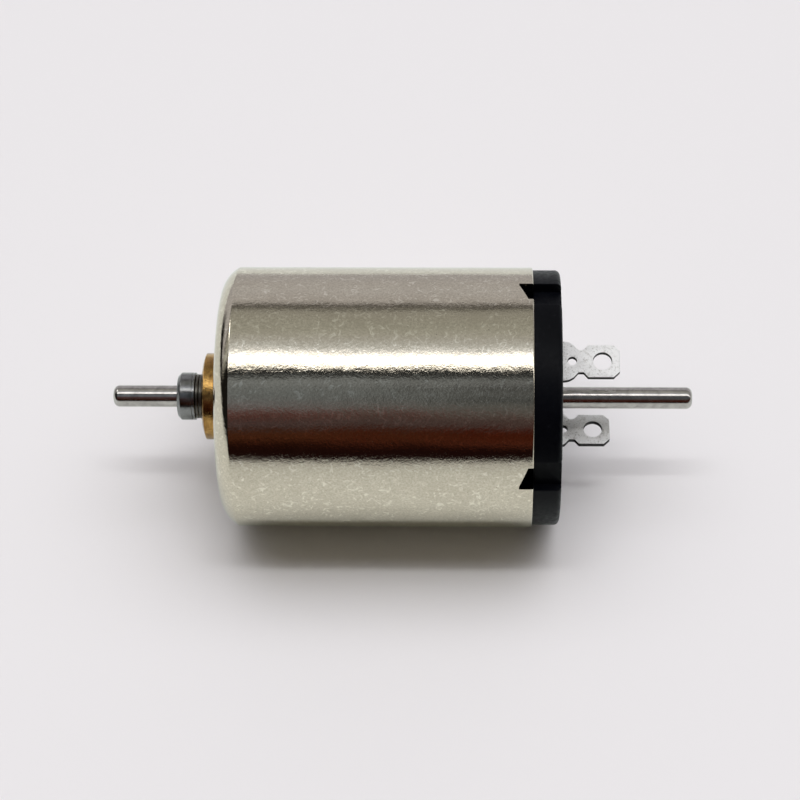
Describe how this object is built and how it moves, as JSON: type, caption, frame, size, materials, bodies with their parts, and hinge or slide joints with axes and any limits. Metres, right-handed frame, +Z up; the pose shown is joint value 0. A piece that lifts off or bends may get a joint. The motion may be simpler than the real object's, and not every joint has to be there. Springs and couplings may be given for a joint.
{
  "type": "electric motor",
  "caption": "Small cylindrical dual-shaft motor: plated can, pilot boss and collar at the output end, black end cap with solder terminals and a rear shaft.",
  "frame": {"origin": "centre of the screw circle on the mounting face, on the shaft's axis", "axes": "+X out along the output shaft, +Z up with the motor lying on its side, +Y towards the long side seen from the front"},
  "size_m": [0.0535, 0.024, 0.024],
  "materials": {
    "nickel_plate": "bright nickel plate with a faint warm tint, fine grain and light scratches",
    "brass": "turned brass with fine tool marks",
    "sintered_bronze": "porous sintered bronze, oiled",
    "magnet": "dark ground magnet, matt",
    "black_plastic": "moulded black plastic, satin",
    "terminal_plate": "silver-plated stamped sheet, lightly pitted",
    "spring_bronze": "rolled spring strip",
    "brush_alloy": "pressed brush alloy, dark grey",
    "damper_rubber": "soft brown rubber, matt",
    "shaft_steel": "ground and polished steel",
    "collar_steel": "dark turned steel, satin",
    "washer_steel": "dark stamped steel, satin",
    "hub_plastic": "natural moulded resin",
    "copper_winding": "enamelled copper wire, glossy",
    "commutator_alloy": "polished commutator bars"
  },
  "bodies": {
    "stator": {"can": "nickel_plate", "front_boss": "brass", "boss_ring": "brass", "front_bearing": "sintered_bronze", "inner_bearing": "sintered_bronze", "magnet": "magnet", "end_cap": "black_plastic", "rear_bearing": "sintered_bronze", "terminal_upper": "terminal_plate", "terminal_lower": "terminal_plate", "brush_arm_upper": "spring_bronze", "brush_arm_lower": "spring_bronze", "brush_pad_upper": "brush_alloy", "brush_pad_lower": "brush_alloy", "brush_damper_upper": "damper_rubber", "brush_damper_lower": "damper_rubber"},
    "rotor": {"shaft": "shaft_steel", "shaft_collar": "collar_steel", "thrust_washer_1": "washer_steel", "thrust_washer_2": "washer_steel", "inner_washer": "washer_steel", "rotor_hub": "hub_plastic", "coil_cup": "copper_winding", "commutator_core": "hub_plastic", "commutator_segment_1": "commutator_alloy", "commutator_segment_2": "commutator_alloy", "commutator_segment_3": "commutator_alloy", "commutator_segment_4": "commutator_alloy", "commutator_segment_5": "commutator_alloy", "coil_lead_1": "copper_winding", "coil_lead_2": "copper_winding", "coil_lead_3": "copper_winding", "coil_lead_4": "copper_winding", "coil_lead_5": "copper_winding"}
  },
  "joints": [
    {"name": "rotor_spin", "type": "hinge", "parent": "stator", "child": "rotor", "pos_m": [0, 0, 0], "axis": [1, 0, 0], "continuous": true}
  ]
}
